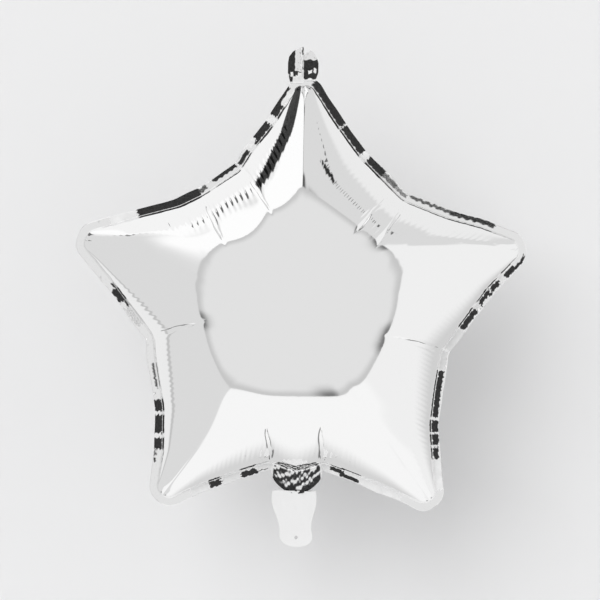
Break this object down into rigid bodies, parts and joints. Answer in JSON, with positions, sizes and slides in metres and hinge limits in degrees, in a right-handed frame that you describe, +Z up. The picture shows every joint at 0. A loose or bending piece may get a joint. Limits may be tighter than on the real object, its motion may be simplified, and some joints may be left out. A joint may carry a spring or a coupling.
{
  "type": "star foil balloon",
  "caption": "Inflated star balloon of welded mirror-foil sheets, with a hanging tab on its top point and a filling tail that folds at the foot.",
  "frame": {"origin": "middle of the star, in the plane of the weld seam, where the air carries the balloon", "axes": "+Z up through the top point and the hanging tab, -Y out of the front sheet, +X to the right seen from the front"},
  "size_m": [0.443, 0.1584, 0.5],
  "materials": {
    "mirror_foil": "mirror-metallised balloon film, drawn taut by the gas and puckered at the seam",
    "fold_foil": "the same metallised film, slack and softly crumpled",
    "clear_film": "thin clear valve film"
  },
  "bodies": {
    "envelope": {"front_panel": "mirror_foil", "back_panel": "mirror_foil"},
    "hang_tab": {"tab_front_film": "fold_foil", "tab_back_film": "fold_foil"},
    "filling_tail": {"tail_front_film": "fold_foil", "tail_back_film": "fold_foil", "valve_film": "clear_film"}
  },
  "joints": [
    {"name": "tab_fold", "type": "hinge", "parent": "envelope", "child": "hang_tab", "pos_m": [0, 0, 0.23345], "axis": [1, 0, 0], "range_deg": [-80, 80]},
    {"name": "tail_fold", "type": "hinge", "parent": "envelope", "child": "filling_tail", "pos_m": [0, 0, -0.1803], "axis": [1, 0, 0], "range_deg": [-80, 80]}
  ]
}
